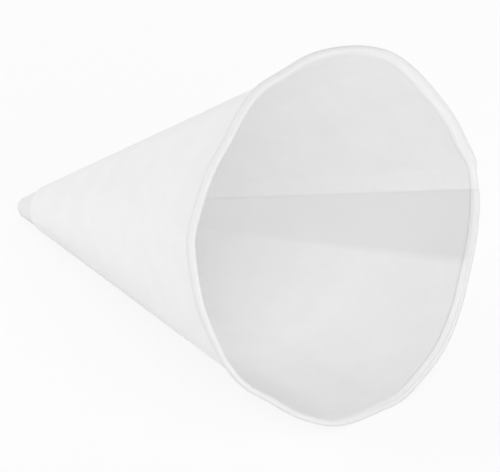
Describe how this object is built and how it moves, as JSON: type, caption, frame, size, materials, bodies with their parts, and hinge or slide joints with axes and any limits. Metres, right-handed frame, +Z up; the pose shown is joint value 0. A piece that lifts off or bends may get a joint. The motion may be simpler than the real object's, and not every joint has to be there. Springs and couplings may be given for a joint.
{
  "type": "cone paper cup",
  "caption": "Rolled white paper cone cup lying on its side, with a wound side seam, a rolled rim round the handled mouth and a small closed nose.",
  "frame": {"origin": "bottom centre of the cup's own box, on the surface it lies on", "axes": "+Z up from the surface, +X level towards the open mouth with the closed nose at -X, +Y to the side where the inner lap's free edge meets the rim"},
  "size_m": [0.1018, 0.0716, 0.0661],
  "materials": {
    "paper": "matte"
  },
  "bodies": {
    "root": {"cone_cup": "paper"}
  },
  "joints": []
}
